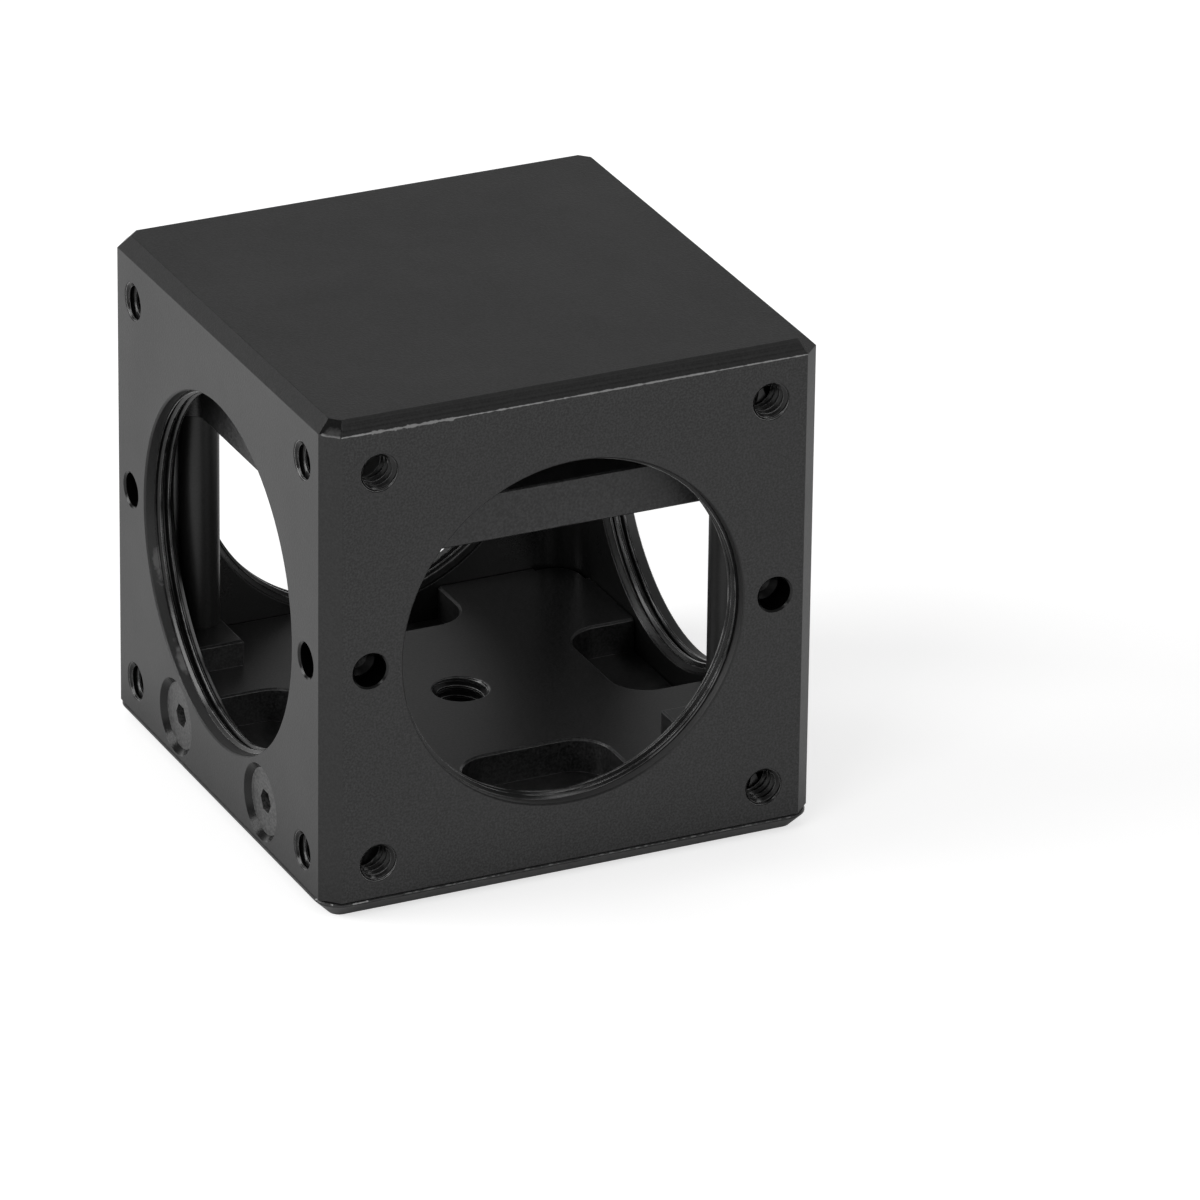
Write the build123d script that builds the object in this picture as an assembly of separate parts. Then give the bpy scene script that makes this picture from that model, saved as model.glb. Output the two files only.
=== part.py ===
from build123d import *
import os
from math import radians, tan

# Optical cage cube for a 25.4 mm cube optic. A hollow square housing with a threaded port
# in each side stands on a base plate. The base plate carries two guide posts, and a clamp
# plate slides on the posts and holds the optic down.
# Millimetres, +Z up, origin at the centre of the underside, ports along X and Y.

# Housing
CUBE = 38.1
SIDE_WALL = 2.45
TOP_WALL = 2.45
CORNER_CHAMFER = 1.25
TOP_CHAMFER = 0.92
SEAM_CHAMFER = 0.12
CAVITY_CORNER = 3.0

# Ports with a 1.035-40 thread, bored to the thread's outer radius
PORT_R = 13.145
PORT_MOUTH = 0.12
PORT_INNER_CHAMFER = 0.38

# Rod holes with a 4-40 thread, bored to the thread's outer radius
ROD_SPACING = 30.0
ROD_HOLE_R = 1.42
ROD_HOLE_DEPTH = 2.95
ROD_HOLE_MOUTH = 0.05

# Pin holes at the height of the ports
PIN_SPACING = 31.24
PIN_HOLE_R = 1.25
PIN_HOLE_DEPTH = 2.1
PIN_HOLE_POINT = 0.9
PIN_HOLE_MOUTH = 0.15

# The cube optic, which sets the floor and the feet that locate it
OPTIC = 25.4
FOOT_HEIGHT = 2.0
FOOT_LENGTH = 6.6

# Base plate: a flange under the housing and a plug inside it
FLANGE = 1.3
FLANGE_CORNER = 1.9
FLANGE_UNDER_CHAMFER = 1.07
FLANGE_TOP_CHAMFER = 0.1
PLUG_GAP = 0.1
EDGE_BREAK = 0.15

# The plug's corners step back, so that the rods' studs have room behind the walls
STUD_STEP = 0.35
STUD_STEP_GAP = 0.2
STUD_STEP_CORNER = 2.0

# Pockets in the floor, which let a tube screwed into a port pass over the plug
POCKET_INNER = 10.55
POCKET_WIDTH = 11.4
POCKET_DEPTH = 2.6
POCKET_CORNER = 2.75

# Post hole in the middle of the base with an 8-32 thread, bored to the thread's outer radius
MAIN_HOLE_R = 2.085
MAIN_HOLE_MOUTH = 0.05

# Guide posts, pressed into the feet at two opposite corners
POST_R = 1.5
POST_INSET = 2.3
POST_FLOOR = 2.0
POST_TOP_GAP = 0.35
POST_PRESS_GAP = 0.01
POST_END_CHAMFER = 0.2

# Clamp plate on the posts
CLAMP_OVERHANG = 0.6
CLAMP_THICK = 3.6
CLAMP_LIFT = 18.9
CLAMP_CORNER = 2.0
CLAMP_EDGE = 0.12
CLAMP_RUN_GAP = 0.03
EAR_WALL = 0.32
EAR_FILLET = 0.6

# Slits that let the clamp plate grip the posts
SLIT_WIDTH = 0.6
SLIT_SETBACK = 1.7
SLIT_LENGTH = 9.0
SLIT_END_R = 0.6

# Countersunk screws with a hexagon socket
SINK_ANGLE = 82.0
SEAT_GAP = 0.02
THREAD_GAP = 0.02
TIP_ROOM = 0.5
TIP_CHAMFER = 0.3
DRILL_POINT = 0.6

# Base screws, 4-40, two in each of the left and right walls
BASE_SCREW_R = 1.4
BASE_SCREW_HEAD_R = 2.5
BASE_SCREW_LENGTH = 6.35
BASE_SCREW_KEY = 1.59
BASE_SCREW_KEY_DEPTH = 0.9
BASE_SCREW_SPACING = 15.24
BASE_SCREW_OVER_FLANGE = 3.15
BASE_SINK_R = 2.9
BASE_CLEAR_R = 1.5

# Clamp screws, 0-80, one across each slit
CLAMP_SCREW_R = 0.76
CLAMP_SCREW_HEAD_R = 1.5
CLAMP_SCREW_LENGTH = 6.35
CLAMP_SCREW_KEY = 0.89
CLAMP_SCREW_KEY_DEPTH = 0.55
CLAMP_SCREW_FROM_POST = 5.5
CLAMP_SINK_R = 1.6
CLAMP_CLEAR_R = 0.85

# How far a cutter runs past the face that it starts from
OVER = 1.0

# Places that follow from the sizes above
AXIS_Z = CUBE / 2
CEILING_Z = CUBE - TOP_WALL
CAVITY_HALF = CUBE / 2 - SIDE_WALL
PLUG_HALF = CAVITY_HALF - PLUG_GAP
FLOOR_Z = AXIS_Z - OPTIC / 2
FOOT_TOP_Z = FLOOR_Z + FOOT_HEIGHT
POST_AT = CAVITY_HALF - POST_INSET
CLAMP_HALF = POST_AT + CLAMP_OVERHANG
CLAMP_Z = FLOOR_Z + CLAMP_LIFT
CLAMP_MID_Z = CLAMP_Z + CLAMP_THICK / 2
CLAMP_HOLE_R = POST_R + CLAMP_RUN_GAP
SLIT_Y = CLAMP_HALF - SLIT_SETBACK
SINK_SLOPE = tan(radians(SINK_ANGLE / 2))
STUD_STEP_AT = ROD_SPACING / 2 - ROD_HOLE_R - STUD_STEP_GAP

# The four side faces, as turns about Z from the front face, and the base's screwed sides
FRONT, RIGHT, BACK, LEFT = 0, 90, 180, 270
SIDES = (FRONT, RIGHT, BACK, LEFT)

# The back left corner's features are repeated at the front right corner by this mirror
DIAGONAL = Plane(origin=(0, 0, 0), z_dir=(1, -1, 0))


def on_side(turn, along, height, reach=CUBE / 2):
    """A place on an upright face, with its local Z pointing out and its local Y up."""
    return Rot(0, 0, turn) * Pos(along, -reach, height) * Rot(90, 0, 0)


def both_corners(shape):
    """A back left feature together with its front right twin."""
    return shape + mirror(shape, about=DIAGONAL)


def turned(*points):
    """A solid of revolution about Z from (radius, height) points."""
    return revolve(Plane.XZ * Polygon(*points, align=None), Axis.Z)


def hole(radius, depth, mouth=0.0, point=0.0):
    """Cutter for a round hole down from a face, with a 45 degree mouth and a drill point."""
    return turned(
        (0, OVER),
        (radius + mouth + OVER, OVER),
        (radius, -mouth),
        (radius, -depth),
        (0, -depth - point),
    )


def port():
    """Cutter for a port, with a small outer and a larger inner chamfer."""
    edge = SIDE_WALL - PORT_INNER_CHAMFER
    return turned(
        (0, OVER),
        (PORT_R + PORT_MOUTH + OVER, OVER),
        (PORT_R, -PORT_MOUTH),
        (PORT_R, -edge),
        (PORT_R + PORT_INNER_CHAMFER + OVER, -SIDE_WALL - OVER),
        (0, -SIDE_WALL - OVER),
    )


def screw(radius, head_radius, length, key, key_depth):
    """A countersunk screw with its head's top face at the origin and its tip down."""
    head_height = (head_radius - radius) / SINK_SLOPE
    body = turned(
        (0, 0),
        (head_radius, 0),
        (radius, -head_height),
        (radius, TIP_CHAMFER - length),
        (radius - TIP_CHAMFER, -length),
        (0, -length),
    )
    socket = extrude(RegularPolygon(key / 2, 6, major_radius=False), -key_depth)
    return body - socket


def head_depth(sink_radius, head_radius):
    """How far a screw's head lies below the face, seated in its countersink."""
    return (sink_radius - head_radius - SEAT_GAP) / SINK_SLOPE


def screw_hole(sink_radius, clear_radius, clear_depth, tap_radius, tap_depth):
    """Cutter for a screw: a countersink, a clearance hole and then a tapped hole."""
    return turned(
        (0, OVER),
        (sink_radius + OVER * SINK_SLOPE, OVER),
        (clear_radius, -(sink_radius - clear_radius) / SINK_SLOPE),
        (clear_radius, -clear_depth),
        (tap_radius, -clear_depth),
        (tap_radius, -tap_depth),
        (0, -tap_depth - DRILL_POINT),
    )


def rod_places():
    """The sixteen places of the rod holes on the side faces."""
    half = ROD_SPACING / 2
    return [
        on_side(turn, along, AXIS_Z + up)
        for turn in SIDES
        for along in (-half, half)
        for up in (-half, half)
    ]


def base_screw_places(turn):
    """The two places of the base screws on one side face."""
    half = BASE_SCREW_SPACING / 2
    height = FLANGE + BASE_SCREW_OVER_FLANGE
    return [on_side(turn, along, height) for along in (-half, half)]


def base_screw_holes():
    """Cutters for the four base screws, through the walls and into the plug."""
    depth = head_depth(BASE_SINK_R, BASE_SCREW_HEAD_R) + BASE_SCREW_LENGTH + TIP_ROOM
    cutter = screw_hole(
        BASE_SINK_R,
        BASE_CLEAR_R,
        SIDE_WALL + PLUG_GAP / 2,
        BASE_SCREW_R + THREAD_GAP,
        depth,
    )
    return [place * cutter for turn in (LEFT, RIGHT) for place in base_screw_places(turn)]


def make_housing():
    """The square housing with its cavity, ports, rod holes, pin holes and countersinks."""
    outline = chamfer(Rectangle(CUBE, CUBE).vertices(), CORNER_CHAMFER)
    body = Pos(0, 0, FLANGE) * extrude(outline, CUBE - FLANGE)
    body = chamfer(body.faces().sort_by(Axis.Z)[-1].edges(), TOP_CHAMFER)
    body = chamfer(body.faces().sort_by(Axis.Z)[0].edges(), SEAM_CHAMFER)
    cavity = extrude(RectangleRounded(2 * CAVITY_HALF, 2 * CAVITY_HALF, CAVITY_CORNER), CEILING_Z)
    body -= cavity
    pin_hole = hole(PIN_HOLE_R, PIN_HOLE_DEPTH, PIN_HOLE_MOUTH, PIN_HOLE_POINT)
    rod_hole = hole(ROD_HOLE_R, ROD_HOLE_DEPTH, ROD_HOLE_MOUTH, DRILL_POINT)
    body -= [on_side(turn, 0, AXIS_Z) * port() for turn in SIDES]
    body -= [on_side(turn, s * PIN_SPACING / 2, AXIS_Z) * pin_hole for turn in SIDES for s in (-1, 1)]
    body -= [place * rod_hole for place in rod_places()]
    body -= base_screw_holes()
    return body


def make_flange():
    """The flange that closes the housing from below."""
    flange = extrude(RectangleRounded(CUBE, CUBE, FLANGE_CORNER), FLANGE)
    flange = chamfer(flange.faces().sort_by(Axis.Z)[0].edges(), FLANGE_UNDER_CHAMFER)
    return chamfer(flange.faces().sort_by(Axis.Z)[-1].edges(), FLANGE_TOP_CHAMFER)


def make_pocket():
    """Cutter for the front pocket, with a small chamfer at its rim."""
    length = CAVITY_HALF + OVER - POCKET_INNER
    middle = (POCKET_INNER + CAVITY_HALF + OVER) / 2
    outline = Pos(0, -middle) * Rectangle(POCKET_WIDTH, length)
    outline = fillet(outline.vertices().group_by(Axis.Y)[-1], POCKET_CORNER)
    deep = Pos(0, 0, FLOOR_Z - POCKET_DEPTH) * extrude(outline, POCKET_DEPTH + FOOT_HEIGHT)
    rim = Pos(0, 0, FLOOR_Z - EDGE_BREAK) * extrude(outline, 2 * EDGE_BREAK, taper=-45)
    return deep + rim


def plug_outline():
    """The outline that fits inside the housing, with its corners stepped back."""
    stepped = 2 * (PLUG_HALF - STUD_STEP)
    outline = RectangleRounded(stepped, stepped, STUD_STEP_CORNER)
    outline += Rectangle(2 * PLUG_HALF, 2 * STUD_STEP_AT)
    return outline + Rectangle(2 * STUD_STEP_AT, 2 * PLUG_HALF)


def make_feet():
    """The two feet that locate the optic and carry the guide posts."""
    width = PLUG_HALF - OPTIC / 2
    corner = Pos(-PLUG_HALF + width / 2, PLUG_HALF - FOOT_LENGTH / 2)
    outline = corner * Rectangle(width, FOOT_LENGTH) & plug_outline()
    foot = Pos(0, 0, FLANGE) * extrude(outline, FOOT_TOP_Z - FLANGE)
    foot = chamfer(foot.faces().sort_by(Axis.Z)[-1].edges(), EDGE_BREAK)
    return both_corners(foot)


def make_base_plate():
    """The base plate with its plug, pockets, feet and holes."""
    plate = make_flange() + Pos(0, 0, FLANGE) * extrude(plug_outline(), FLOOR_Z - FLANGE)
    plate -= [Rot(0, 0, turn) * make_pocket() for turn in SIDES]
    plate += make_feet()
    main_hole = hole(MAIN_HOLE_R, FLOOR_Z / 2, MAIN_HOLE_MOUTH)
    plate -= Pos(0, 0, FLOOR_Z) * main_hole
    plate -= Rot(180, 0, 0) * main_hole
    post_hole = Cylinder(POST_R + POST_PRESS_GAP, CUBE, align=(Align.CENTER, Align.CENTER, Align.MIN))
    plate -= both_corners(Pos(-POST_AT, POST_AT, POST_FLOOR) * post_hole)
    plate -= base_screw_holes()
    return plate


def make_guide_post():
    """The back left guide post."""
    length = CEILING_Z - POST_TOP_GAP - POST_FLOOR
    post = Cylinder(POST_R, length, align=(Align.CENTER, Align.CENTER, Align.MIN))
    post = chamfer(post.edges().filter_by(GeomType.CIRCLE), POST_END_CHAMFER)
    return Pos(-POST_AT, POST_AT, POST_FLOOR) * post


def clamp_outline():
    """The clamp plate's outline: a square with an ear round each guide post."""
    ear = Pos(-POST_AT, POST_AT) * Circle(CLAMP_HOLE_R + EAR_WALL)
    outline = Rectangle(2 * CLAMP_HALF, 2 * CLAMP_HALF) + both_corners(ear)
    outline = fillet([v for v in outline.vertices() if v.X * v.Y > 0], CLAMP_CORNER)
    necks = [v for v in outline.vertices() if v.X * v.Y < 0]
    return fillet(necks, EAR_FILLET)


def make_slit():
    """Cutter for the back left slit, from the post hole to its round end."""
    middle = Pos(SLIT_LENGTH / 2 - POST_AT, SLIT_Y)
    end = Pos(SLIT_LENGTH - POST_AT, SLIT_Y)
    outline = middle * Rectangle(SLIT_LENGTH, SLIT_WIDTH) + end * Circle(SLIT_END_R)
    return Pos(0, 0, CLAMP_Z) * extrude(outline, CLAMP_THICK)


def clamp_screw_place():
    """The place of the left clamp screw, on the back face of the clamp plate."""
    return on_side(BACK, POST_AT - CLAMP_SCREW_FROM_POST, CLAMP_MID_Z, CLAMP_HALF)


def make_clamp_plate():
    """The clamp plate with its post holes, slits and screw holes."""
    plate = Pos(0, 0, CLAMP_Z) * extrude(clamp_outline(), CLAMP_THICK)
    for level in (0, -1):
        plate = chamfer(plate.faces().sort_by(Axis.Z)[level].edges(), CLAMP_EDGE)
    post_hole = Cylinder(CLAMP_HOLE_R, CUBE, align=(Align.CENTER, Align.CENTER, Align.MIN))
    depth = head_depth(CLAMP_SINK_R, CLAMP_SCREW_HEAD_R) + CLAMP_SCREW_LENGTH + TIP_ROOM
    tapped = screw_hole(
        CLAMP_SINK_R,
        CLAMP_CLEAR_R,
        SLIT_SETBACK,
        CLAMP_SCREW_R + THREAD_GAP,
        depth,
    )
    plate -= both_corners(Pos(-POST_AT, POST_AT) * post_hole)
    plate -= both_corners(make_slit())
    plate -= both_corners(clamp_screw_place() * tapped)
    return plate


def make_base_screws(turn):
    """The two base screws of one side."""
    body = screw(
        BASE_SCREW_R,
        BASE_SCREW_HEAD_R,
        BASE_SCREW_LENGTH,
        BASE_SCREW_KEY,
        BASE_SCREW_KEY_DEPTH,
    )
    sunk = Pos(0, 0, -head_depth(BASE_SINK_R, BASE_SCREW_HEAD_R)) * body
    return Compound([place * sunk for place in base_screw_places(turn)])


def make_clamp_screw():
    """The clamp screw that closes the back left slit."""
    body = screw(
        CLAMP_SCREW_R,
        CLAMP_SCREW_HEAD_R,
        CLAMP_SCREW_LENGTH,
        CLAMP_SCREW_KEY,
        CLAMP_SCREW_KEY_DEPTH,
    )
    return clamp_screw_place() * Pos(0, 0, -head_depth(CLAMP_SINK_R, CLAMP_SCREW_HEAD_R)) * body


NODES = {
    "housing": make_housing(),
    "base_plate": make_base_plate(),
    "guide_post_left": make_guide_post(),
    "guide_post_right": mirror(make_guide_post(), about=DIAGONAL),
    "base_screws_left": make_base_screws(LEFT),
    "base_screws_right": make_base_screws(RIGHT),
    "clamp_plate": make_clamp_plate(),
    "clamp_screw_left": make_clamp_screw(),
    "clamp_screw_right": mirror(make_clamp_screw(), about=DIAGONAL),
}

os.makedirs("parts", exist_ok=True)
for name, shape in NODES.items():
    export_step(shape, f"parts/{name}.step")
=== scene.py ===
# %% [markdown]
# An optical cage cube: a black anodised aluminium housing on a base plate, with a clamp plate
# on two guide posts inside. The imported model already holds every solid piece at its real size.
# This lesson adds what a mesh from CAD doesn't have: finishes, thread ridges and light.

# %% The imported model
import math

import bmesh
import bpy
import numpy as np
from mathutils import Matrix, Vector


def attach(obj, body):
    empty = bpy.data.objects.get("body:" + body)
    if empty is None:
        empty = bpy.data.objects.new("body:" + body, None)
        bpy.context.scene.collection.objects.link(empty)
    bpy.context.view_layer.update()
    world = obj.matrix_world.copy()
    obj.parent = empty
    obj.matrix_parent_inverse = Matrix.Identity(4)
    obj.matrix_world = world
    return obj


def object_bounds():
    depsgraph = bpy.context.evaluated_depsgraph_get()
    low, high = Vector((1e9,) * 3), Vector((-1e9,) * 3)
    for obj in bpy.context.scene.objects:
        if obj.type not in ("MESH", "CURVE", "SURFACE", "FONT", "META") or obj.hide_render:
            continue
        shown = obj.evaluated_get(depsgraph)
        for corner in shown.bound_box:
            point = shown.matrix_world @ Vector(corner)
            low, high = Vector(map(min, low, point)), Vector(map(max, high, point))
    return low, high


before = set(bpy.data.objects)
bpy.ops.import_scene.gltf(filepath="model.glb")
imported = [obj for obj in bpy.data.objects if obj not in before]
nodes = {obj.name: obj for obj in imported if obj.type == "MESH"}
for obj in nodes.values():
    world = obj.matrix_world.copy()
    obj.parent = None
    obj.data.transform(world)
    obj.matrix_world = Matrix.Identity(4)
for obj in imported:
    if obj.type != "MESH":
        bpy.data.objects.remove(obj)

MM = 0.001
cad_box = [list(corner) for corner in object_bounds()]
print("nodes:", ", ".join(sorted(nodes)))

# %% [markdown]
# The camera comes first, because every later choice is judged through it. A long lens far away
# keeps the cube's edges nearly parallel. The place and the three angles are real sizes that
# were fitted to the cube's corners in the photograph.

# %% Camera
CAMERA_PLACE = Vector((-285.114, -621.253, 333.58)) * MM
CAMERA_AZIMUTH = math.radians(-25.4857)
CAMERA_ELEVATION = math.radians(25.0908)
CAMERA_ROLL = math.radians(0.7425)
CAMERA_LENS = 315.846
CLIP_START = 0.01


def add_camera():
    """A camera turned by azimuth about Z, then tipped down by elevation, then rolled."""
    data = bpy.data.cameras.new("camera")
    data.lens = CAMERA_LENS
    data.clip_start = CLIP_START
    camera = bpy.data.objects.new("camera", data)
    turn = Matrix.Rotation(CAMERA_AZIMUTH, 4, "Z")
    tip = Matrix.Rotation(math.pi / 2 - CAMERA_ELEVATION, 4, "X")
    roll = Matrix.Rotation(CAMERA_ROLL, 4, "Z")
    camera.matrix_world = Matrix.Translation(CAMERA_PLACE) @ turn @ tip @ roll
    bpy.context.scene.collection.objects.link(camera)
    bpy.context.scene.camera = camera
    return camera


camera = add_camera()
print("camera at", tuple(round(v, 4) for v in camera.location))

# %% [markdown]
# Every material below is a small sum worked out in nodes. Written node by node, such sums are
# hard to read, so a few helpers come first: one makes a node, one joins two, and the others
# write a line of arithmetic as a line of code.

# %% Node helpers
def add_node(tree, kind, **settings):
    """A node of one kind. A setting such as in_To_Min is the value of its input To Min."""
    node = tree.nodes.new(kind)
    for key, value in settings.items():
        if key.startswith("in_"):
            node.inputs[key[3:].replace("_", " ")].default_value = value
        else:
            setattr(node, key, value)
    return node


def join(tree, output, socket):
    """A link from an output to an input."""
    tree.links.new(output, socket)


# %% Sums in nodes
def calc(tree, operation, *values):
    """A Math node's output, from sockets and plain numbers."""
    node = add_node(tree, "ShaderNodeMath", operation=operation)
    for socket, value in zip(node.inputs, values):
        if isinstance(value, (int, float)):
            socket.default_value = value
        else:
            join(tree, value, socket)
    return node.outputs[0]


def vector_calc(tree, operation, *values):
    """A Vector Math node's output, a number for the dot product and the length."""
    node = add_node(tree, "ShaderNodeVectorMath", operation=operation)
    for socket, value in zip(node.inputs, values):
        if isinstance(value, tuple):
            socket.default_value = value
        else:
            join(tree, value, socket)
    return node.outputs["Value" if operation in ("DOT_PRODUCT", "LENGTH") else "Vector"]


def ramp(tree, value, low, high, start=0.0, end=1.0):
    """A value that goes evenly from start at low to end at high, and stays there outside."""
    node = add_node(tree, "ShaderNodeMapRange", in_From_Min=low, in_From_Max=high,
                    in_To_Min=start, in_To_Max=end)
    join(tree, value, node.inputs["Value"])
    return node.outputs[0]


def choose(tree, factor, plain, other):
    """A Mix node's output: the number plain where factor is zero, and the socket other at one."""
    node = add_node(tree, "ShaderNodeMix", in_A=plain)
    join(tree, factor, node.inputs["Factor"])
    join(tree, other, node.inputs["B"])
    return node.outputs[0]


def object_place(tree):
    """The Object coordinates, which stay with the piece when it moves."""
    return add_node(tree, "ShaderNodeTexCoord").outputs["Object"]


# %% [markdown]
# A black part is lit by what it mirrors, so the room matters more than the lamps. The floor is
# pale and matte, with a little glow of its own that only the camera and mirror rays see. That
# keeps it near white and still lets the cube's shadow show. Close to the cube the glow fades
# for mirror rays, a painted contact shadow, as a real floor is shaded there, so the lowest edge
# of a side turns dark.

# %% Floor
FLOOR_SIZE = 6.0
FLOOR_DROP = 0.02 * MM
FLOOR_COLOR = (0.62, 0.62, 0.62, 1)
FLOOR_GLOW = 0.62
MIRROR_GLOW = 0.82
CONTACT_REACH = 7 * MM
CONTACT_GLOW = 0.1


def seen_directly(tree):
    """One where the camera or a mirror sees the surface, and zero for soft light."""
    path = add_node(tree, "ShaderNodeLightPath")
    return calc(tree, "MAXIMUM", path.outputs["Is Camera Ray"], path.outputs["Is Glossy Ray"])


def contact_shade(tree):
    """One for the camera. For mirror rays, CONTACT_GLOW beside the cube and MIRROR_GLOW from
    CONTACT_REACH on, by the distance to the cube's square, which is the length of
    max(|x| - half, 0), max(|y| - half, 0).
    """
    half = (cad_box[1][0] - cad_box[0][0]) / 2
    away = vector_calc(tree, "ABSOLUTE", object_place(tree))
    past = vector_calc(tree, "SUBTRACT", away, (half, half, 1.0))
    distance = vector_calc(tree, "LENGTH", vector_calc(tree, "MAXIMUM", past, (0.0, 0.0, 0.0)))
    # Painted contact shadow: the glow that mirrors see is weaker beside the cube.
    shade = ramp(tree, distance, 0.0, CONTACT_REACH, CONTACT_GLOW, MIRROR_GLOW)
    glossy = add_node(tree, "ShaderNodeLightPath").outputs["Is Glossy Ray"]
    return choose(tree, glossy, 1.0, shade)


def floor_material():
    """Matte pale floor with a glow that only direct looks see, weaker beside the cube."""
    material = bpy.data.materials.new("floor")
    material.use_nodes = True
    tree = material.node_tree
    tree.nodes.clear()
    matte = add_node(tree, "ShaderNodeBsdfDiffuse", in_Color=FLOOR_COLOR)
    glow = add_node(tree, "ShaderNodeEmission")
    both = add_node(tree, "ShaderNodeAddShader")
    output = add_node(tree, "ShaderNodeOutputMaterial")
    shaded = calc(tree, "MULTIPLY", contact_shade(tree), FLOOR_GLOW)
    join(tree, calc(tree, "MULTIPLY", seen_directly(tree), shaded), glow.inputs["Strength"])
    join(tree, matte.outputs[0], both.inputs[0])
    join(tree, glow.outputs[0], both.inputs[1])
    join(tree, both.outputs[0], output.inputs["Surface"])
    return material


def add_floor():
    """A square floor just under the cube."""
    half = FLOOR_SIZE / 2
    corners = np.array([[-1, -1], [1, -1], [1, 1], [-1, 1]]) * half
    points = np.column_stack([corners, np.full(4, -FLOOR_DROP)])
    mesh = bpy.data.meshes.new("floor")
    mesh.from_pydata(points.tolist(), [], [[0, 1, 2, 3]])
    mesh.materials.append(floor_material())
    floor = bpy.data.objects.new("floor", mesh)
    bpy.context.scene.collection.objects.link(floor)


add_floor()
print("floor of", FLOOR_SIZE, "m")

# %% [markdown]
# The room is white at the horizon and darker above, as a studio with a low backdrop is, and
# the top face mirrors that darker part. Soft light takes an even grey instead, so the room's
# picture and its strength as a lamp can be set apart.

# %% Room
ROOM_LIGHT = 0.42
ROOM_ABOVE = 0.2
BACKDROP_TOP = 0.12
CEILING_FROM = 0.4


def add_room():
    """A world that direct looks see as white up to BACKDROP_TOP and as ROOM_ABOVE from
    CEILING_FROM on, both the sine of the height angle, and that soft light sees as ROOM_LIGHT.
    """
    world = bpy.data.worlds.new("room")
    world.use_nodes = True
    tree = world.node_tree
    tree.nodes.clear()
    place = add_node(tree, "ShaderNodeTexCoord")
    parts = add_node(tree, "ShaderNodeSeparateXYZ")
    backdrop = add_node(tree, "ShaderNodeMapRange", interpolation_type="SMOOTHSTEP",
                        in_From_Min=BACKDROP_TOP, in_From_Max=CEILING_FROM,
                        in_To_Min=1.0, in_To_Max=ROOM_ABOVE)
    background = add_node(tree, "ShaderNodeBackground", in_Color=(1, 1, 1, 1))
    output = add_node(tree, "ShaderNodeOutputWorld")
    join(tree, place.outputs["Generated"], parts.inputs[0])
    join(tree, parts.outputs["Z"], backdrop.inputs["Value"])
    light = choose(tree, seen_directly(tree), ROOM_LIGHT, backdrop.outputs[0])
    join(tree, light, background.inputs["Strength"])
    join(tree, background.outputs[0], output.inputs["Surface"])
    bpy.context.scene.world = world


add_room()
print("room light", ROOM_LIGHT)

# %% [markdown]
# Soft lamps do the rest. The strongest one stands at the left, because the left face is the
# brightest in the photograph. Two in front, a wide low strip and a small high one, light the
# thread flanks, and one high at the left makes the glints in the hole mouths.

# %% Lamps
LAMPS = {
    "key_left": {"place": (-0.75, 0.25, 0.35), "size": (0.5, 0.5), "power": 4.8},
    "strip_front": {"place": (0.1, -1.1, 0.42), "size": (0.9, 0.28), "power": 1.2},
    "fill_front": {"place": (0.44, -0.86, 0.62), "size": (0.25, 0.25), "power": 1.0},
    "glint": {"place": (-0.6, -0.45, 0.72), "size": (0.35, 0.35), "power": 1.5},
}


def add_lamp(name, place, size, power):
    """A soft lamp, size wide and high in metres, that faces the middle of the cube."""
    data = bpy.data.lights.new(name, "AREA")
    data.shape = "RECTANGLE"
    data.size, data.size_y = size
    data.energy = power
    lamp = bpy.data.objects.new(name, data)
    target = Vector((0, 0, (cad_box[0][2] + cad_box[1][2]) / 2))
    lamp.location = place
    lamp.rotation_euler = (target - lamp.location).to_track_quat("-Z", "Y").to_euler()
    bpy.context.scene.collection.objects.link(lamp)


for name, lamp in LAMPS.items():
    add_lamp(name, **lamp)
print("lamps:", ", ".join(LAMPS))

# %% [markdown]
# Black anodising is a thin dyed oxide: almost no colour of its own, a satin gloss, and a fine
# sandy grain from the blasted surface under it. One node group makes the grain, and each
# material mixes it in with its own values. Sizes are in turns per metre of Object coordinates.

# %% Grain group
GRAIN_NOISES = (
    {"name": "Grain", "detail": 2.0, "low": 0.36, "high": 0.74},
    {"name": "Cloud", "detail": 3.0, "low": 0.3, "high": 0.7},
)


def new_group(name, inputs, outputs):
    """An empty node group with float sockets, and its two end nodes."""
    group = bpy.data.node_groups.new(name, "ShaderNodeTree")
    for label in inputs:
        group.interface.new_socket(label, in_out="INPUT", socket_type="NodeSocketFloat")
    for label in outputs:
        group.interface.new_socket(label, in_out="OUTPUT", socket_type="NodeSocketFloat")
    return group, add_node(group, "NodeGroupInput"), add_node(group, "NodeGroupOutput")


def noise_of(group, scale, detail):
    """Noise on Object coordinates. The scale is a socket or a plain number."""
    noise = add_node(group, "ShaderNodeTexNoise", in_Detail=detail)
    join(group, object_place(group), noise.inputs["Vector"])
    if isinstance(scale, float):
        noise.inputs["Scale"].default_value = scale
    else:
        join(group, scale, noise.inputs["Scale"])
    return noise.outputs["Fac"]


def grain_group():
    """Fine speckle and slow cloudiness on Object coordinates, both from 0 to 1."""
    group, source, result = new_group("sandy_grain", ("Grain per m", "Cloud per m"),
                                      ("Grain", "Cloud"))
    for noise in GRAIN_NOISES:
        name = noise["name"]
        level = noise_of(group, source.outputs[name + " per m"], noise["detail"])
        join(group, ramp(group, level, noise["low"], noise["high"]), result.inputs[name])
    return group


GRAIN = grain_group()
print("group:", GRAIN.name)
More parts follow.
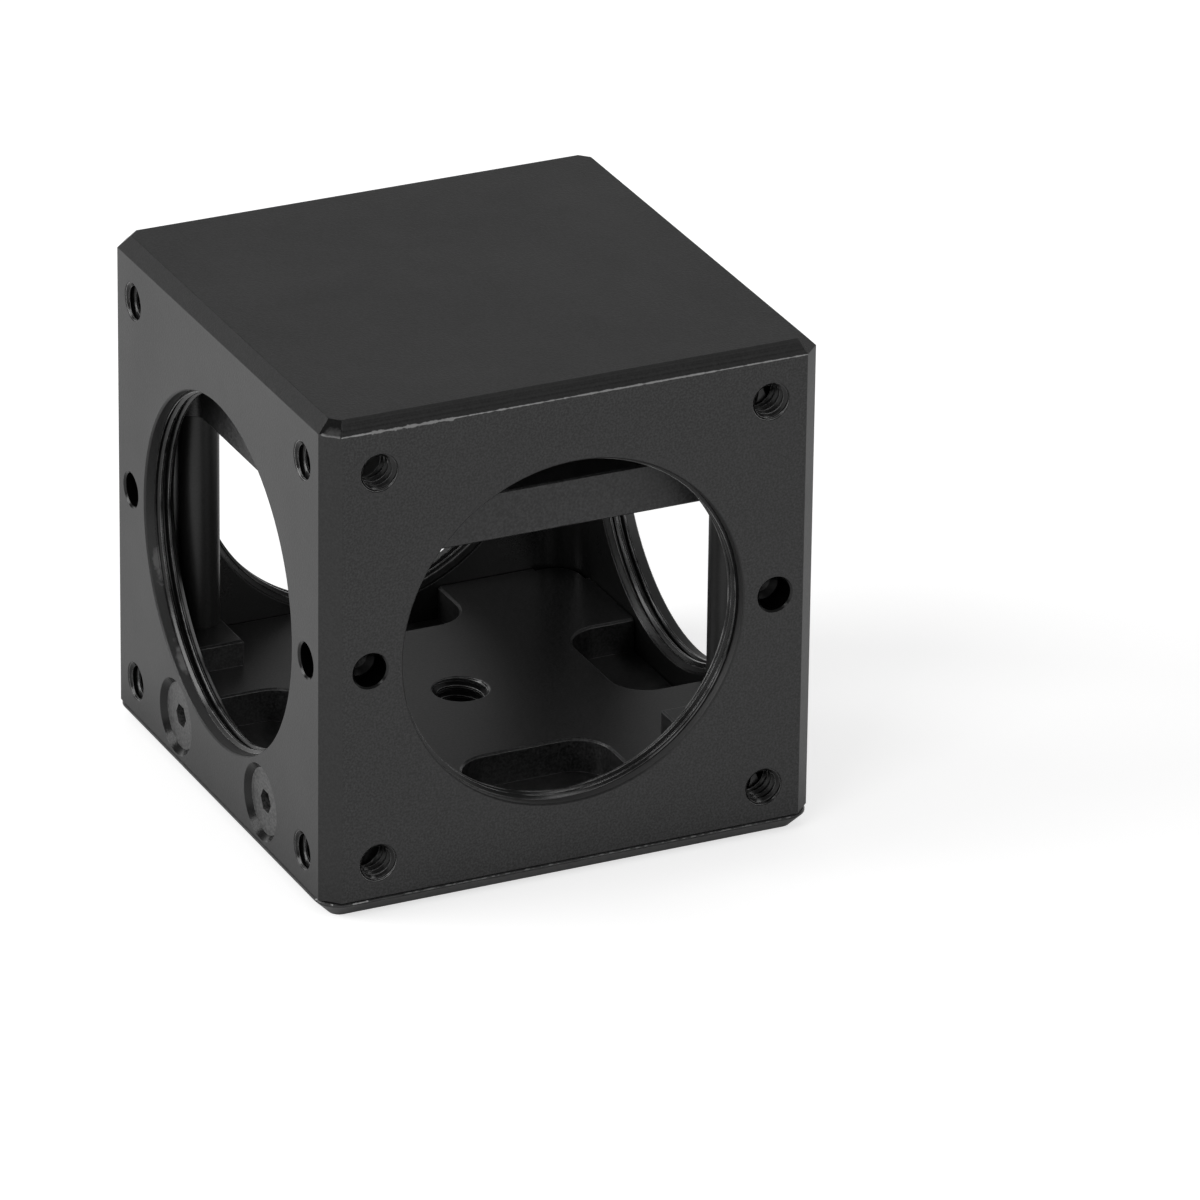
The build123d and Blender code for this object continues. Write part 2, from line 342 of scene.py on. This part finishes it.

# %% [markdown]
# Outer edges of an anodised part rub pale first, because the oxide is thinnest there. The pale
# tone is also a painted highlight, the light that a rounded edge catches. A Bevel node finds
# edges of any mesh: near one, its softened normal leaves the face's own. The ambient occlusion
# tells the outer edges, which are open, from the inner corners, which are not.

# %% Edge group
EDGE_SAMPLES = 6
EDGE_AGREEMENT = (0.995, 0.93)
EDGE_OPENNESS = (0.7, 0.9)
EDGE_PATCHES = (0.35, 0.6)


def worn_and_highlit_edge_group():
    """A mask of the outer edges, for wear and a painted highlight, Width metres wide and broken up
    by a noise.
    """
    group, source, result = new_group("rubbed_and_highlit_edges", ("Width", "Patches per m"), ("Edge",))
    width = source.outputs["Width"]
    soft = add_node(group, "ShaderNodeBevel", samples=EDGE_SAMPLES)
    face = add_node(group, "ShaderNodeNewGeometry")
    open_air = add_node(group, "ShaderNodeAmbientOcclusion", samples=EDGE_SAMPLES)
    join(group, width, soft.inputs["Radius"])
    join(group, calc(group, "MULTIPLY", width, 2.0), open_air.inputs["Distance"])
    agreement = vector_calc(group, "DOT_PRODUCT", soft.outputs[0], face.outputs["True Normal"])
    noise = noise_of(group, source.outputs["Patches per m"], 4.0)
    near = ramp(group, agreement, *EDGE_AGREEMENT)
    outer = ramp(group, open_air.outputs["AO"], *EDGE_OPENNESS)
    both = calc(group, "MULTIPLY", near, outer)
    edge = calc(group, "MULTIPLY", both, ramp(group, noise, *EDGE_PATCHES))
    join(group, edge, result.inputs["Edge"])
    return group


EDGE_WEAR_AND_HIGHLIGHT = worn_and_highlit_edge_group()
print("group:", EDGE_WEAR_AND_HIGHLIGHT.name)

# %% [markdown]
# Wear also has places of its own: a long scuffed line, or a knocked corner, and painted
# highlights sit in such places too. This group gives a soft mask round a straight stretch, from
# how far a point lies from its nearest point on it.

# %% Stretch group
STRETCH_ENDS = [f"{end} {letter}" for end in ("Start", "End") for letter in "XYZ"]
RAGGED_PER_M = 2500.0


def stretch_group():
    """One on the stretch from Start to End, zero from Radius on, with a ragged limit.

    The nearest point is Start + share * (End - Start), where share is the dot product of
    the way from Start and the stretch, over the stretch's square, kept within 0 and 1.
    """
    inputs = (*STRETCH_ENDS, "Radius", "Ragged")
    group, source, result = new_group("wear_and_highlight_stretch", inputs, ("Wear and highlight",))
    ends = [add_node(group, "ShaderNodeCombineXYZ") for end in range(2)]
    for index, label in enumerate(STRETCH_ENDS):
        join(group, source.outputs[label], ends[index // 3].inputs[index % 3])
    start, end = (node.outputs[0] for node in ends)
    along = vector_calc(group, "SUBTRACT", end, start)
    reach = vector_calc(group, "SUBTRACT", object_place(group), start)
    share = calc(group, "DIVIDE", vector_calc(group, "DOT_PRODUCT", reach, along),
                 vector_calc(group, "DOT_PRODUCT", along, along))
    nearest = add_node(group, "ShaderNodeVectorMath", operation="SCALE")
    join(group, along, nearest.inputs[0])
    join(group, ramp(group, share, 0, 1), nearest.inputs["Scale"])
    apart = vector_calc(group, "LENGTH", vector_calc(group, "SUBTRACT", reach, nearest.outputs[0]))
    noise = calc(group, "SUBTRACT", noise_of(group, RAGGED_PER_M, 4.0), 0.5)
    uneven = calc(group, "MULTIPLY", noise, source.outputs["Ragged"])
    limit = calc(group, "ADD", calc(group, "DIVIDE", apart, source.outputs["Radius"]), uneven)
    join(group, ramp(group, limit, 1.0, 0.5), result.inputs["Wear and highlight"])
    return group


STRETCH = stretch_group()
print("group:", STRETCH.name)

# %% [markdown]
# The cutter leaves its own marks. The chamfers round the top show fine lines along the cut, and
# the bores and the cavity are smoother than the blasted outer faces. Both places follow from
# the box's own sizes, so one group can find them on any such box.

# %% Tooling group
TOOLING_INPUTS = ("Half width", "Height", "Chamfer", "Corner", "Port", "Mouth", "Wall", "Pin")
TOOLING_OUTPUTS = ("Chamfers", "Lines", "Mouths", "Holes", "Pins", "Inside")
SLACK = 0.02 * MM
PORT_EDGE = 0.13 * MM
PIN_MOUTH = 0.16 * MM
LINES_PER_M = 9000.0
LINES_RANGE = (0.35, 0.65)


def tooling_group():
    """Masks of a box with a round port in each side, from the box's own sizes.

    A top chamfer is where the insets from the top and from the side add up to Chamfer. Lines
    run along X on it. Mouths are the first Mouth of a port's wall without its broken edge,
    Holes is all else that is cut into the Wall, Pins are the holes within Pin of mid height,
    and Inside lies deeper. Chamfers also takes the upright corners and the ports' edges.
    """
    group, source, result = new_group("tooling", TOOLING_INPUTS, TOOLING_OUTPUTS)
    size = source.outputs

    def both(first, second):
        return calc(group, "MULTIPLY", first, second)

    def without(whole, part):
        return calc(group, "SUBTRACT", whole, part)

    def less(value, limit):
        return calc(group, "LESS_THAN", value, limit)

    def more(value, limit):
        return calc(group, "GREATER_THAN", value, limit)

    parts = add_node(group, "ShaderNodeSeparateXYZ")
    join(group, object_place(group), parts.inputs[0])
    x, y = (calc(group, "ABSOLUTE", parts.outputs[axis]) for axis in "XY")
    down = without(size["Height"], parts.outputs["Z"])
    inset = without(size["Half width"], calc(group, "MAXIMUM", x, y))
    diagonal = without(both(size["Half width"], 2.0), calc(group, "ADD", x, y))
    corner = without(diagonal, size["Corner"])
    top = calc(group, "COMPARE", calc(group, "ADD", down, inset), size["Chamfer"], SLACK)
    side = calc(group, "COMPARE", corner, 0.0, SLACK)
    noise = add_node(group, "ShaderNodeTexNoise", noise_dimensions="1D",
                     in_Scale=1.0, in_Detail=3.0)
    join(group, both(down, LINES_PER_M), noise.inputs["W"])
    lines = both(both(top, more(y, x)), ramp(group, noise.outputs["Fac"], *LINES_RANGE))
    inner = calc(group, "MINIMUM", calc(group, "MINIMUM", down, inset), corner)
    under = both(more(inner, SLACK), without(1.0, top))
    level = calc(group, "ABSOLUTE", without(both(size["Height"], 0.5), parts.outputs["Z"]))
    beside = calc(group, "MINIMUM", x, y)
    radius = calc(group, "SQRT", calc(group, "ADD", both(level, level), both(beside, beside)))
    port = both(under, less(radius, size["Port"]))
    shallow = less(inner, size["Mouth"])
    edge = both(port, less(inner, PORT_EDGE))
    holes = both(without(under, port), less(inner, size["Wall"]))
    masks = {
        "Chamfers": calc(group, "MAXIMUM", calc(group, "MAXIMUM", top, side), edge),
        "Lines": lines,
        "Mouths": without(both(port, shallow), edge),
        "Holes": holes,
        "Pins": both(both(holes, less(level, size["Pin"])), more(inner, PIN_MOUTH)),
        "Inside": calc(group, "MAXIMUM", both(under, without(1.0, shallow)), holes),
    }
    for label, mask in masks.items():
        join(group, mask, result.inputs[label])
    return group


TOOLING = tooling_group()
print("group:", TOOLING.name)

# %% [markdown]
# No machined edge is truly sharp. The same softened normal, taken into the shading, turns each
# edge into a thin rounded line with its own reflection. The grain's bump rides on top of it.

# %% Relief group
BUMP_DEPTH = 0.01 * MM


def relief_group():
    """A shading normal from edges rounded by Width metres and a bump of Height."""
    group, source, result = new_group("relief", ("Height", "Strength", "Width"), ())
    group.interface.new_socket("Normal", in_out="OUTPUT", socket_type="NodeSocketVector")
    soft = add_node(group, "ShaderNodeBevel", samples=EDGE_SAMPLES)
    bump = add_node(group, "ShaderNodeBump", in_Distance=BUMP_DEPTH)
    join(group, source.outputs["Width"], soft.inputs["Radius"])
    join(group, source.outputs["Height"], bump.inputs["Height"])
    join(group, source.outputs["Strength"], bump.inputs["Strength"])
    join(group, soft.outputs[0], bump.inputs["Normal"])
    join(group, bump.outputs[0], result.inputs["Normal"])
    return group


RELIEF = relief_group()
print("group:", RELIEF.name)

# %% [markdown]
# One function makes every metal of the cube from these groups. They differ only in their
# numbers: anodised aluminium is grainy and grey, the posts and the threads are smooth and
# darker, and the screws are rougher. The holes get painted shade: a dark colour with some
# Metallic mirrors next to nothing, which keeps the small holes as dark as they are in the
# photograph.

# %% Metal finish
CLOUD_PER_M = 120.0
GRAIN_SHARE = 1.5
ROUGHNESS_SPREAD = 0.06
EDGE_WIDTH = 0.1 * MM
EDGE_PATCHES_PER_M = 400.0
EDGE_ROUNDING = 0.07 * MM
CALM_INSIDE = 0.8
TOOLED_ROUGHNESS = {"Inside": -0.14, "Holes": -0.08, "Pins": 0.10}
TOOLED_AND_PAINTED_TONES = {
    "Chamfers": (0.6, 0.003),
    # Holes: black, a painted shade in the recesses.
    "Holes": (1.0, 0.003),
    "Lines": (0.5, 0.030),
    # Mouths: a lighter tone, a painted reflection on the ports' smooth lead-in.
    "Mouths": (0.8, 0.045),
}
# Painted shade in the holes: Metallic on a black colour, so they mirror next to nothing.
PAINTED_HOLE_SHADE = {"Holes": 0.25, "Pins": 0.5}


def mix_color(tree, factor, first, second):
    """A Mix Color node's output. Colours are sockets or plain RGB, its inputs 6 and 7."""
    node = add_node(tree, "ShaderNodeMix", data_type="RGBA")
    join(tree, factor, node.inputs[0])
    for socket, color in ((node.inputs[6], first), (node.inputs[7], second)):
        if isinstance(color, tuple):
            socket.default_value = (*color, 1)
        else:
            join(tree, color, socket)
    return node.outputs[2]


def use_group(tree, group, name, values):
    """A node of a group with its inputs set from a list of numbers."""
    node = add_node(tree, "ShaderNodeGroup", node_tree=group, name=name)
    for socket, value in zip(node.inputs, values):
        socket.default_value = value
    return node


def grey(tone):
    """A neutral colour."""
    return (tone,) * 3


def metal(name, dark, light, roughness, level, bump=0.3, grain=6000.0, edge=0.10, wear_and_highlights=(),
          box=None):
    """A black metal finish: two tones mixed by the grain, pale edges of wear and painted
    highlight, pale marks of wear and painted highlight, and a fine bump.

    Each mark is (start, end, radius, ragged, tone). box is the tooling group's sizes, and
    with it the chamfers, mouths and holes get tones of their own: the mouths a lighter, painted
    reflection and the holes a painted shade, black and with Metallic so they mirror next to
    nothing.
    """
    material = bpy.data.materials.new(name)
    material.use_nodes = True
    tree = material.node_tree
    shader = tree.nodes["Principled BSDF"]
    shader.inputs["Specular IOR Level"].default_value = level
    pattern = use_group(tree, GRAIN, "grain", (grain, CLOUD_PER_M)).outputs
    edges = use_group(tree, EDGE_WEAR_AND_HIGHLIGHT, "edges", (EDGE_WIDTH, EDGE_PATCHES_PER_M)).outputs
    height = pattern["Grain"]
    mottle = calc(tree, "ADD", pattern["Cloud"], calc(tree, "MULTIPLY", height, GRAIN_SHARE))
    rough = ramp(tree, mottle, 0, 1 + GRAIN_SHARE, roughness - ROUGHNESS_SPREAD,
                 roughness + ROUGHNESS_SPREAD)
    if box:
        tooled = use_group(tree, TOOLING, "tooled", box).outputs
        calm = calc(tree, "SUBTRACT", 1.0, calc(tree, "MULTIPLY", tooled["Inside"], CALM_INSIDE))
        height = calc(tree, "MULTIPLY", height, calm)
        for mask, change in TOOLED_ROUGHNESS.items():
            rough = calc(tree, "ADD", rough, calc(tree, "MULTIPLY", tooled[mask], change))
    color = mix_color(tree, height, dark, light)
    if box:
        for mask, (share, tone) in TOOLED_AND_PAINTED_TONES.items():
            part = calc(tree, "MULTIPLY", tooled[mask], share)
            color = mix_color(tree, part, color, grey(tone))
        # Painted shade: the holes mirror next to nothing.
        hole_shade_parts = [calc(tree, "MULTIPLY", tooled[mask], share) for mask, share in PAINTED_HOLE_SHADE.items()]
        join(tree, calc(tree, "ADD", *hole_shade_parts), shader.inputs["Metallic"])
    # Pale edges: rubbed wear, and a painted highlight along each edge.
    color = mix_color(tree, edges["Edge"], color, grey(edge))
    for start, end, radius, ragged, tone in wear_and_highlights:
        wear_and_highlight = use_group(tree, STRETCH, "wear_and_highlight", (*start, *end, radius, ragged)).outputs
        color = mix_color(tree, wear_and_highlight["Wear and highlight"], color, grey(tone))
    relief = use_group(tree, RELIEF, "relief", (0.0, bump, EDGE_ROUNDING))
    join(tree, height, relief.inputs["Height"])
    join(tree, color, shader.inputs["Base Color"])
    join(tree, rough, shader.inputs["Roughness"])
    join(tree, relief.outputs["Normal"], shader.inputs["Normal"])
    return material


# %% [markdown]
# The housing has been handled. A pale worn line runs along the top of the front face and the
# near corner is knocked. The pale patch on the lower left of the left port is a painted glint.
# The base plate shows wear at its near corner, and its long pale line along the seam is a
# painted highlight on the flange's top edge. All of it is placed in millimetres, as measured in
# the photograph.

# %% Marks of use and painted highlights
FRONT_Y = -19.05
HOUSING_BOX = [size * MM for size in (19.05, 38.1, 0.92, 1.25, 13.4, 0.8, 2.44, 1.5)]


def mark(start, end, radius, ragged, tone):
    """A pale mark for metal(), used for wear and for painted highlights, with its ends and radius
    in millimetres.
    """
    return [v * MM for v in start], [v * MM for v in end], radius * MM, ragged, tone


def front_mark(left, right, z, *look):
    """A pale mark along X on the front face."""
    return mark((left, FRONT_Y, z), (right, FRONT_Y, z), *look)


HOUSING_WEAR_AND_HIGHLIGHT = [
    front_mark(-17.8, 17.8, 37.18, 0.065, 2.6, 0.26),
    front_mark(-15.5, -9.5, 37.16, 0.12, 3.2, 0.22),
    front_mark(0.0, 9.0, 37.18, 0.075, 2.0, 0.24),
    mark((-18.85, -18.0, 37.2), (-18.0, -18.85, 37.2), 0.13, 1.6, 0.16),
    mark((-18.55, -18.25, 37.5), (-18.1, -18.7, 37.5), 0.42, 1.2, 0.05),
    # Painted glint on the lower left of the left port's rim.
    mark((-18.35, 12.9, 15.4), (-18.35, 7.5, 8.0), 0.42, 1.6, 0.14),
]
BASE_WEAR_AND_HIGHLIGHT = [
    front_mark(-16.9, -15.8, 1.22, 0.07, 2.5, 0.30),
    # Painted highlight along the flange's top edge.
    front_mark(-13.0, 18.0, 1.24, 0.035, 6.0, 0.12),
    mark((-19.0, -17.3, 1.22), (-18.3, -18.6, 1.22), 0.07, 2.0, 0.30),
]
print("marks:", len(HOUSING_WEAR_AND_HIGHLIGHT) + len(BASE_WEAR_AND_HIGHLIGHT))

# %% [markdown]
# Each finish is now one line, and a table says which piece wears which. A CAD piece keeps its
# mesh as it is: only its material changes.

# %% Finishes
BLACK = grey(0.003)
anodised_body = metal("anodised_body", BLACK, (0.029, 0.029, 0.0295), 0.46, 0.42, bump=0.5,
                      grain=6500.0, edge=0.015, wear_and_highlights=HOUSING_WEAR_AND_HIGHLIGHT, box=HOUSING_BOX)
# The threads' pale edge tone is a painted highlight along the crests.
anodised_thread = metal("anodised_thread", BLACK, grey(0.006), 0.22, 0.32, bump=0.05, edge=0.32)
anodised_base = metal("anodised_base", BLACK, (0.026, 0.026, 0.0265), 0.34, 0.42, bump=0.15,
                      edge=0.10, wear_and_highlights=BASE_WEAR_AND_HIGHLIGHT)
anodised_clamp = metal("anodised_clamp", BLACK, (0.036, 0.036, 0.037), 0.42, 0.42)
black_rod = metal("black_steel_rod", grey(0.006), grey(0.012), 0.42, 0.4, bump=0.03)
black_screw = metal("black_steel_screw", grey(0.010), grey(0.09), 0.45, 0.5, bump=0.5)
FINISHES = {
    "housing": anodised_body,
    "base_plate": anodised_base,
    "clamp_plate": anodised_clamp,
    "guide_post_left": black_rod,
    "guide_post_right": black_rod,
    "base_screws_left": black_screw,
    "base_screws_right": black_screw,
    "clamp_screw_left": black_screw,
    "clamp_screw_right": black_screw,
}


def paint(node, material):
    """The finish of one CAD node."""
    mesh = nodes[node].data
    mesh.materials.clear()
    mesh.materials.append(material)


for node, material in FINISHES.items():
    paint(node, material)
print("finishes:", len(FINISHES))

# %% [markdown]
# The ports and the rod holes are threaded. The solids are bored to the thread's outer radius,
# so what is missing is the ridge that stands inward. Each one is a single strip of triangle
# section that winds round the bore and runs out at both ends of the wall.

# %% Ridge surface
SINK = 0.02 * MM
SECTION_POINTS = 9


def ridge_arrays(place, major, minor, pitch, first, last, steps, lead=0.0, phase=0.0):
    """Points and quads of a ridge on a bore's wall, with steps rows a turn.

    place is (mouth, right, up, out). The ridge's middle lies at depth pitch * turn, at the
    angle phase - 360 * turn. Across it, the height rises along 60 degree flanks to a flat crest
    of an eighth pitch each side. Depths are clipped to first..last, which cuts the ridge off
    flush at both ends. The radius stays outside lead - depth, the cone of a countersink.
    """
    mouth, right, up, out = (np.array(v, float) for v in place)
    half = 7 / 16 * pitch
    crest = pitch / 8
    turns = np.arange((first - half) / pitch, (last + half) / pitch, 1 / steps)
    middle = pitch * turns[:, None]
    depth = np.clip(middle + np.linspace(-half, half, SECTION_POINTS), first, last)
    height = np.clip((half - abs(depth - middle)) / (half - crest), 0, 1)
    radius = np.minimum(np.maximum(major - (major - minor) * height, lead - depth), major)
    root = np.full((len(turns), 1), major + SINK)
    depth = np.hstack([depth[:, :1], depth, depth[:, -1:]])
    radius = np.hstack([root, radius, root])
    angle = math.radians(phase) - 2 * np.pi * turns[:, None]
    flat = np.cos(angle)[..., None] * right + np.sin(angle)[..., None] * up
    points = mouth + radius[..., None] * flat - depth[..., None] * out
    rows, columns = depth.shape
    row = np.arange(rows - 1)[:, None] * columns
    here = np.arange(columns)[None, :]
    beside = (here + 1) % columns
    quads = np.stack([row + here, row + beside, row + columns + beside, row + columns + here], -1)
    return points.reshape(-1, 3), quads.reshape(-1, 4)


# %% New piece
MERGE = 1e-7
SHORTEST_EDGE = 1e-8
SHARP_ANGLE = math.radians(35)


def add_piece(name, parts, material, body):
    """One mesh from several (points, faces) parts, cleaned, closed and facing outwards."""
    starts = np.cumsum([0] + [len(points) for points, faces in parts])
    points = np.vstack([points for points, faces in parts])
    faces = np.vstack([part[1] + start for part, start in zip(parts, starts)])
    mesh = bpy.data.meshes.new(name)
    mesh.from_pydata(points.tolist(), [], faces.tolist())
    form = bmesh.new()
    form.from_mesh(mesh)
    bmesh.ops.remove_doubles(form, verts=form.verts, dist=MERGE)
    bmesh.ops.dissolve_degenerate(form, edges=form.edges, dist=SHORTEST_EDGE)
    bmesh.ops.recalc_face_normals(form, faces=form.faces)
    form.to_mesh(mesh)
    form.free()
    mesh.materials.append(material)
    mesh.shade_smooth()
    mesh.set_sharp_from_angle(angle=SHARP_ANGLE)
    piece = bpy.data.objects.new(name, mesh)
    bpy.context.scene.collection.objects.link(piece)
    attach(piece, body)
    print(name, len(mesh.polygons), "faces")


# %% [markdown]
# The four sides are alike, so a hole is placed once, on a side that faces the front, and then
# turned about Z with its directions. All the thread starts follow the photograph: the phase is
# where the ridge begins, seen from outside.

# %% Port threads
AXIS_Z = cad_box[1][2] / 2
SIDES = {"front": 0, "right": 90, "back": 180, "left": 270}
PITCH_40 = 25.4 / 40 * MM
PORT = {"major": 13.145 * MM, "minor": 12.85 * MM, "pitch": PITCH_40, "phase": 140,
        "first": 0.78 * MM, "last": 2.05 * MM, "steps": 160}


def side_place(turn, along, height):
    """A hole's mouth on a side face, with its right, up and outward directions."""
    angle = math.radians(turn)
    right = Vector((math.cos(angle), math.sin(angle), 0))
    out = Vector((math.sin(angle), -math.cos(angle), 0))
    mouth = out * cad_box[1][0] + right * along
    return (mouth.x, mouth.y, height), right, (0, 0, 1), out


for side, turn in SIDES.items():
    ridge = ridge_arrays(side_place(turn, 0, AXIS_Z), **PORT)
    add_piece(f"port_thread_{side}", [ridge], anodised_thread, "frame")

# %% Rod hole threads
ROD_REACH = 15 * MM
ROD_HOLE = {"major": 1.42 * MM, "minor": 1.135 * MM, "pitch": PITCH_40, "phase": -81,
            "first": 0.05 * MM, "last": 2.42 * MM, "steps": 32, "lead": 1.47 * MM}
for side, turn in SIDES.items():
    ridges = [
        ridge_arrays(side_place(turn, x * ROD_REACH, AXIS_Z + z * ROD_REACH), **ROD_HOLE)
        for x in (-1, 1)
        for z in (-1, 1)
    ]
    add_piece(f"rod_threads_{side}", ridges, anodised_thread, "frame")

# %% Post thread
FLOOR_Z = 6.35 * MM
POST_PLACE = ((0, 0, FLOOR_Z), (1, 0, 0), (0, 1, 0), (0, 0, 1))
POST_HOLE = {"major": 2.085 * MM, "minor": 1.72 * MM, "pitch": 25.4 / 32 * MM,
             "first": 0.05 * MM, "last": 6.30 * MM, "steps": 40, "lead": 2.13 * MM}
ridge = ridge_arrays(POST_PLACE, **POST_HOLE)
add_piece("post_thread", [ridge], anodised_thread, "frame")

# %% [markdown]
# Standard shows each colour as it is written, without a film curve on top.

# %% Finish
bpy.context.scene.view_settings.view_transform = "Standard"
